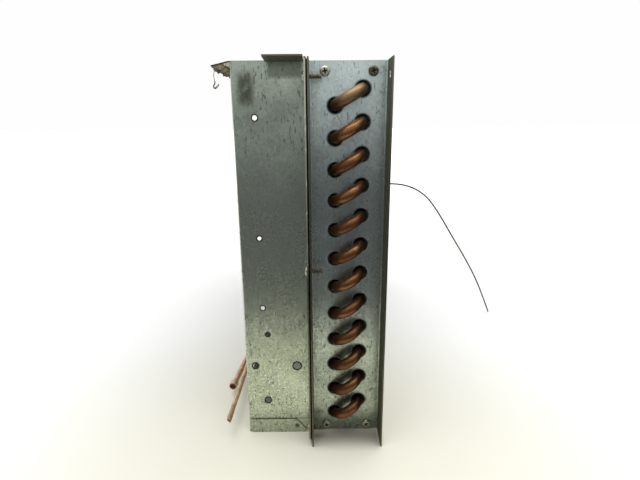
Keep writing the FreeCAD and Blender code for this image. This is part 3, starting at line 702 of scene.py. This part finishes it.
def makeScrews():
    random.seed(4)
    sheetScrew = makeScrew("sheetScrew", screwSize, screwSize["sheetLength"])
    flangeScrew = makeScrew("flangeScrew", screwSize, screwSize["flangeLength"])
    toRight = Matrix.Rotation(math.radians(-90), 4, "Y")
    for side in ("front", "rear"):
        towards = -1 if side == "front" else 1
        low, high = (Vector(c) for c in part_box(f"tube_sheet_screws_{side}"))
        face = tubeSheetFace * towards
        inset = screwSize["head"] / 2
        seats = [(Vector((x, face, z)), random.uniform(0, 1.5))
                 for x in (low.x + inset, high.x - inset) for z in (low.z + inset, high.z - inset)]
        turn = Matrix.Rotation(math.radians(90 if towards < 0 else -90), 4, "X")
        placeScrews(f"tubeSheetScrews_{side}", sheetScrew, seats, turn,
                    f"tube_sheet_screws_{side}")
        low, high = (Vector(c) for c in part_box(f"flange_screws_{side}"))
        count = 3 if side == "front" else 2
        step = (high.z - low.z - screwSize["head"]) / (count - 1)
        seats = [(Vector((low.x + screwSize["headHeight"], (low.y + high.y) / 2,
                          low.z + inset + step * number)), random.uniform(0, 1.5))
                 for number in range(count)]
        placeScrews(f"flangeScrews_{side}", flangeScrew, seats, toRight, f"flange_screws_{side}")
    bpy.data.objects.remove(sheetScrew)
    bpy.data.objects.remove(flangeScrew)


makeScrews()
print("screws driven")


brazeSize = {"major": 0.00485, "minor": 0.00075, "at": 0.2136, "lumps": 0.00025}


def makeBraze(size):
    rings = []
    for name in nodes:
        if not name.startswith("hairpin_tube"):
            continue
        low, high = (Vector(c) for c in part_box(name))
        for x, z in ((low.x + tubeRadius, low.z + tubeRadius),
                     (high.x - tubeRadius, high.z - tubeRadius)):
            deselectAll()
            bpy.ops.mesh.primitive_torus_add(location=(x, size["at"], z),
                                             rotation=(math.pi / 2, 0, 0), major_segments=28,
                                             minor_segments=8, major_radius=size["major"],
                                             minor_radius=size["minor"])
            rings.append(bpy.context.object)
    ring = joinAll(rings, "brazeRings")
    settle(ring)
    for vertex in ring.data.vertices:
        vertex.co += noise.noise_vector(vertex.co * 600) * size["lumps"]
    ring.data.polygons.foreach_set("use_smooth", [True] * len(ring.data.polygons))
    dress(ring, brazeMetal)


makeBraze(brazeSize)
print("braze rings laid")


# droop is the brim's slope, which the foam's top follows
foamSize = {
    "droop": 0.2207, "step": 0.0022, "tufts": 60, "tuft": 0.0011, "thread": 0.00024,
    "ragged": 0.0003, "leastKept": 0.12,
}


def makeFoam(size):
    low, high = (Vector(c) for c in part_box("foam_seal_top"))
    slope = size["droop"]
    under = high.z - (high.x - low.x) * slope
    thick = under - low.z
    deselectAll()
    bpy.ops.mesh.primitive_grid_add(x_subdivisions=7, y_subdivisions=int((high.y - low.y)
                                    / size["step"]), size=1, location=((low.x + high.x) / 2, 0, 0))
    strip = bpy.context.object
    strip.scale = (high.x - low.x, high.y - low.y, 1)
    settle(strip)
    startEdit(strip)
    bpy.ops.mesh.select_all(action="SELECT")
    bpy.ops.mesh.extrude_region_move(TRANSFORM_OT_translate={"value": (0, 0, -1)})
    bpy.ops.mesh.select_all(action="SELECT")
    bpy.ops.mesh.normals_make_consistent(inside=False)
    endEdit()
    for vertex in strip.data.vertices:
        co = vertex.co
        x, y = co.x, co.y
        wear = noise.noise((x * 210, y * 95, 3.1)) + 0.6 * noise.noise((x * 500, y * 420, 7.7))
        keep = min(1.0, max(size["leastKept"], 0.5 + wear * 0.9))
        outer = (high.x - x) / (high.x - low.x)
        ragged = 0.0016 * noise.noise((y * 330, 1.7, 0.4)) + 0.0012 * noise.noise((y * 900, 5, 2))
        lower = co.z < -0.5
        co.x = x - (ragged - 0.0008) * outer
        co.z = under + (x - low.x) * slope - (thick * keep * (0.55 + 0.45 * outer) if lower else 0)
        co.x = max(co.x, low.x - 0.0005)
    parts = [strip]
    random.seed(11)
    for number in range(size["tufts"]):
        deselectAll()
        reach = random.uniform(0.5, 1.9) * size["tuft"]
        y = low.y + (high.y - low.y) * (number + random.random()) / size["tufts"]
        x = low.x + random.uniform(0.0002, 0.0022)
        bpy.ops.mesh.primitive_ico_sphere_add(subdivisions=2, radius=1,
                                              location=(x, y, under - thick * 0.6),
                                              scale=(size["tuft"], size["tuft"] * 1.4, reach))
        parts.append(bpy.context.object)
        settle(bpy.context.object)
    parts.append(hangThread(size, Vector((low.x + 0.0012, low.y + 0.006, under - thick * 0.5))))
    foam = joinAll(parts, "tornFoam")
    settle(foam)
    for vertex in foam.data.vertices:
        vertex.co += noise.noise_vector(vertex.co * 700) * size["ragged"]
    foam.data.polygons.foreach_set("use_smooth", [True] * len(foam.data.polygons))
    dress(foam, agedFoam)
    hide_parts("foam_seal_top")


def hangThread(size, top):
    line = bpy.data.curves.new("foamThread", "CURVE")
    line.dimensions = "3D"
    spline = line.splines.new("NURBS")
    shape = [(0, 0, 0), (-0.0004, 0, -0.003), (-0.0008, 0, -0.006), (-0.0002, 0, -0.0085),
             (-0.0004, 0, -0.011), (-0.0016, 0, -0.0128), (-0.0006, 0, -0.0146),
             (0.0012, 0.0005, -0.0134), (0.0026, 0.001, -0.0112)]
    spline.points.add(len(shape) - 1)
    for number, (point, place) in enumerate(zip(spline.points, shape)):
        point.co = (*(top + Vector(place)), 1.0)
        point.radius = 1.0 if number < 4 else 2.6
    spline.order_u = 3
    spline.use_endpoint_u = True
    line.bevel_depth = size["thread"]
    line.bevel_resolution = 2
    line.use_fill_caps = True
    piece = bpy.data.objects.new("foamThread", line)
    bpy.context.collection.objects.link(piece)
    pick(piece)
    bpy.ops.object.convert(target="MESH")
    return bpy.context.object


makeFoam(foamSize)
print("foam laid")


# a hole is its distance from the panel's left edge, its height and its diameter, in mm
burrSize = {
    "minor": 0.00055, "face": -0.2126, "ragged": 0.00022,
    "holes": [(18.0, 294.9, 4.8), (17.5, 194.7, 4.3), (17.8, 129.8, 4.6), (21.3, 103.6, 4.2),
              (8.7, 71.7, 6.0), (47.5, 71.3, 7.9), (19.1, 35.0, 6.1)],
}


def makeBurrs(size):
    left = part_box("plenum_front_panel")[0][0]
    rings = []
    for across, up, diameter in size["holes"]:
        deselectAll()
        radius = diameter * mm / 2 + size["minor"] * 0.25
        bpy.ops.mesh.primitive_torus_add(location=(left + across * mm, size["face"], up * mm),
                                         rotation=(math.pi / 2, 0, 0), major_segments=40,
                                         minor_segments=8, major_radius=radius,
                                         minor_radius=size["minor"])
        rings.append(bpy.context.object)
    burrs = joinAll(rings, "holeBurrs")
    settle(burrs)
    for vertex in burrs.data.vertices:
        vertex.co += noise.noise_vector(vertex.co * 900) * size["ragged"]
    burrs.data.polygons.foreach_set("use_smooth", [True] * len(burrs.data.polygons))
    dress(burrs, burrMetal)


makeBurrs(burrSize)
print("holes burred")


studio = {
    "floorNearShade": (0.81, 0.795, 0.68), "floorFar": (0.93, 0.93, 0.92),
    "floorShade": (0.16, 0.155, 0.115), "shadeDepth": 0.75, "floorGlow": 0.85,
    "boardAt": -0.42, "boardWidth": 1.6, "boardHeight": 0.596, "boardTint": (0.97, 1.0, 0.97, 1.0),
    "boardDark": 0.105, "boardLight": 0.68, "boardRamp": (0.2, 0.37),
    "worldLow": (0.55, 0.56, 0.56), "worldFront": (0.12, 0.13, 0.125),
    "backdrop": (0.99, 0.99, 0.99), "lightPower": 12,
}


def makeFloor():
    deselectAll()
    bpy.ops.mesh.primitive_plane_add(size=30, location=(0, 0, 0))
    floor = bpy.context.object
    floor.name = "studioFloor"
    material, tree, shader = newMaterial("studioFloor")
    place = objectPlace(tree)
    x, y = axesOf(tree, place)[:2]
    off = stretched(tree, place, (1.0, 1.0, 1.0), (-0.02, 0.3, 0))
    away = addNode(tree, "ShaderNodeVectorMath", {0: off}, operation="LENGTH").outputs["Value"]
    # the floor is painted darker and warmer near the object, as shade
    near = remap(tree, away, 0.42, 0.08)
    tint = mixed(tree, near, studio["floorFar"], studio["floorNearShade"])
    # the corner between the two coil flanges is painted with shade on the floor
    low, high = (Vector(corner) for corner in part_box("front_tube_sheet"))
    inside = times(tree, between(tree, x, low.x, high.x, 0.004),
                   between(tree, y, low.y + 0.004, high.y, 0.012))
    tint = mixed(tree, times(tree, inside, studio["shadeDepth"]), tint, studio["floorShade"])
    tree.links.new(tint, shader.inputs["Base Color"])
    shader.inputs["Roughness"].default_value = 0.8
    shader.inputs["Specular IOR Level"].default_value = 0.15
    # further off the floor is painted with a glow that fades it into the backdrop
    shader.inputs["Emission Color"].default_value = (1, 1, 1, 1)
    tree.links.new(remap(tree, away, 0.35, 2.5, 0.0, studio["floorGlow"]),
                   shader.inputs["Emission Strength"])
    floor.data.materials.append(material)


def makeBoard():
    # only glossy rays see this board, which gives the steel something grey to reflect
    deselectAll()
    bpy.ops.mesh.primitive_plane_add(size=1, location=(0.02, studio["boardAt"], 0.3),
                                     rotation=(math.pi / 2, 0, 0))
    board = bpy.context.object
    board.name = "greyBoard"
    board.scale = (studio["boardWidth"], studio["boardHeight"], 1)
    settle(board)
    material = bpy.data.materials.new("greyBoard")
    material.use_nodes = True
    tree = material.node_tree
    tree.nodes.clear()
    z = axesOf(tree, objectPlace(tree))[2]
    level = remap(tree, z, *studio["boardRamp"], studio["boardDark"], studio["boardLight"])
    glow = addNode(tree, "ShaderNodeEmission", {"Color": studio["boardTint"], "Strength": level})
    out = addNode(tree, "ShaderNodeOutputMaterial")
    tree.links.new(glow.outputs["Emission"], out.inputs["Surface"])
    board.data.materials.append(material)
    board.visible_camera = board.visible_diffuse = board.visible_shadow = False
    board.visible_transmission = board.visible_volume_scatter = False


def makeWorld():
    world = bpy.data.worlds.new("studioWorld")
    bpy.context.scene.world = world
    world.use_nodes = True
    tree = world.node_tree
    background = tree.nodes["Background"]
    direction = addNode(tree, "ShaderNodeTexCoord").outputs["Generated"]
    y, z = axesOf(tree, direction)[1:]
    up = remap(tree, z, 0.1, 0.7)
    front = remap(tree, y, 0.3, -0.5)
    low = maths(tree, "SUBTRACT", 1.0, up)
    shade = maths(tree, "MULTIPLY", front, low)
    lit = mixed(tree, up, studio["worldLow"], (1.0, 1.0, 1.0))
    lit = mixed(tree, shade, lit, studio["worldFront"])
    seen = addNode(tree, "ShaderNodeLightPath").outputs["Is Camera Ray"]
    tree.links.new(mixed(tree, seen, lit, studio["backdrop"]), background.inputs["Color"])
    background.inputs["Strength"].default_value = 1.0


def areaLight(name, place, aim, size, power):
    bpy.ops.object.light_add(type="AREA", location=place)
    light = bpy.context.object
    light.name = name
    light.data.shape = "RECTANGLE"
    light.data.size, light.data.size_y = size
    light.data.energy = power
    light.rotation_euler = (Vector(aim) - Vector(place)).to_track_quat("-Z", "Y").to_euler()


makeFloor()
makeBoard()
makeWorld()
areaLight("topLight", (0.1, -0.35, 1.5), (0.02, -0.05, 0.1), (1.4, 1.0),
          studio["lightPower"])
bpy.context.scene.view_settings.view_transform = "Standard"
print("studio ready")
